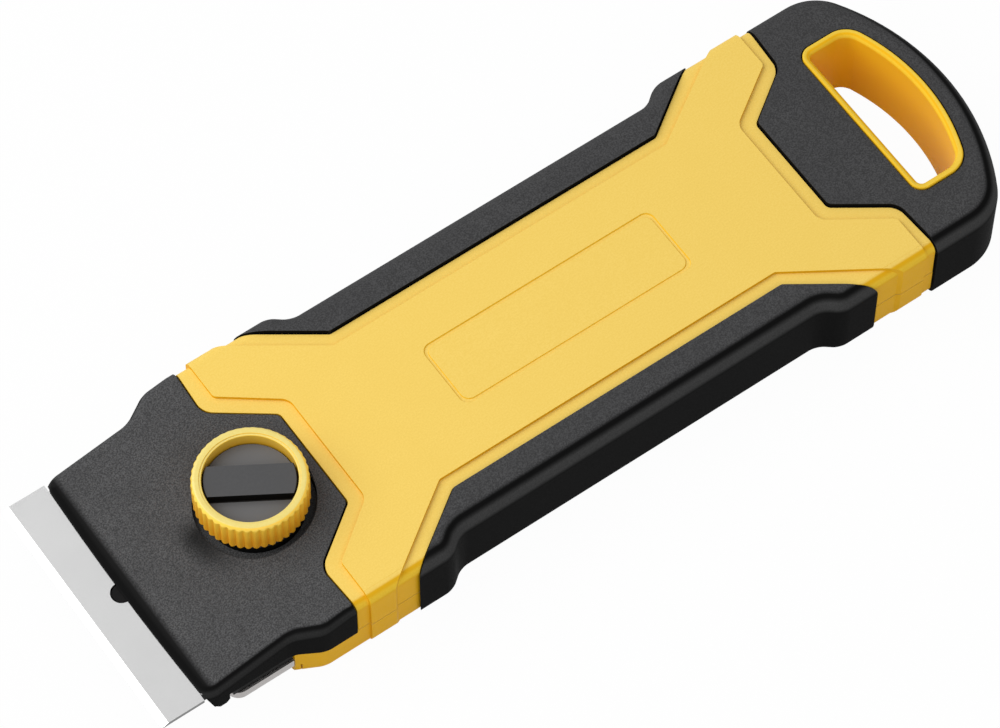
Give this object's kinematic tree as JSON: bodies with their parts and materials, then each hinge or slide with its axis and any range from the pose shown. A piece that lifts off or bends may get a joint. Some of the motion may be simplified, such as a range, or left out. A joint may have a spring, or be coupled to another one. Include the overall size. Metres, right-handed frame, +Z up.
{
  "type": "blade scraper",
  "caption": "Hand scraper with a wide steel blade clamped in its head by a fluted knob, a moulded two-colour handle with side grips, and a lined hanging hole.",
  "frame": {"origin": "middle of the tool's length and width, on the plane of its underside", "axes": "+X runs from the cutting edge to the hanging hole, +Y across the tool, +Z up from the underside to the knob"},
  "size_m": [0.2216, 0.0684, 0.0269],
  "materials": {
    "yellow_moulding": "fine grained moulding",
    "black_moulding": "fine grained moulding",
    "grip_black": "soft touch, fine grained",
    "blade_steel": "ground, bright bevel",
    "plate_steel": "pressed sheet",
    "fastener_steel": "plated"
  },
  "bodies": {
    "handle": {"blade": "blade_steel", "lower_jaw": "black_moulding", "steel_tray": "plate_steel", "top_shell": "yellow_moulding", "bottom_shell": "yellow_moulding", "left_grip": "grip_black", "right_grip": "grip_black", "tail_cap": "grip_black", "hole_liner": "yellow_moulding", "clamp_nut": "fastener_steel", "return_spring": "fastener_steel", "shell_screw_1": "fastener_steel", "shell_screw_2": "fastener_steel", "shell_screw_3": "fastener_steel", "shell_screw_4": "fastener_steel", "shell_screw_5": "fastener_steel", "shell_screw_6": "fastener_steel", "tail_screw_1": "fastener_steel", "tail_screw_2": "fastener_steel", "rear_jaw_screw_1": "fastener_steel", "rear_jaw_screw_2": "fastener_steel", "front_jaw_screw_1": "fastener_steel", "front_jaw_screw_2": "fastener_steel"},
    "cover": {"clamp_cover": "black_moulding"},
    "knob": {"knob_ring": "yellow_moulding", "knob_insert": "black_moulding", "clamp_screw": "fastener_steel", "knob_washer": "fastener_steel", "retaining_clip": "fastener_steel"}
  },
  "joints": [
    {"name": "cover_lift", "type": "slide", "parent": "handle", "child": "cover", "axis": [0, 0, 1], "range_m": [0, 0.003], "deforming": ["return_spring"]},
    {"name": "knob_turn", "type": "hinge", "parent": "cover", "child": "knob", "pos_m": [-0.0687, 0, 0.0188], "axis": [0, 0, 1], "range_deg": [0, 1080]}
  ],
  "couplings": [
    {"joint": "knob_turn", "follows": "cover_lift", "rad_per_m": 6283.2}
  ]
}
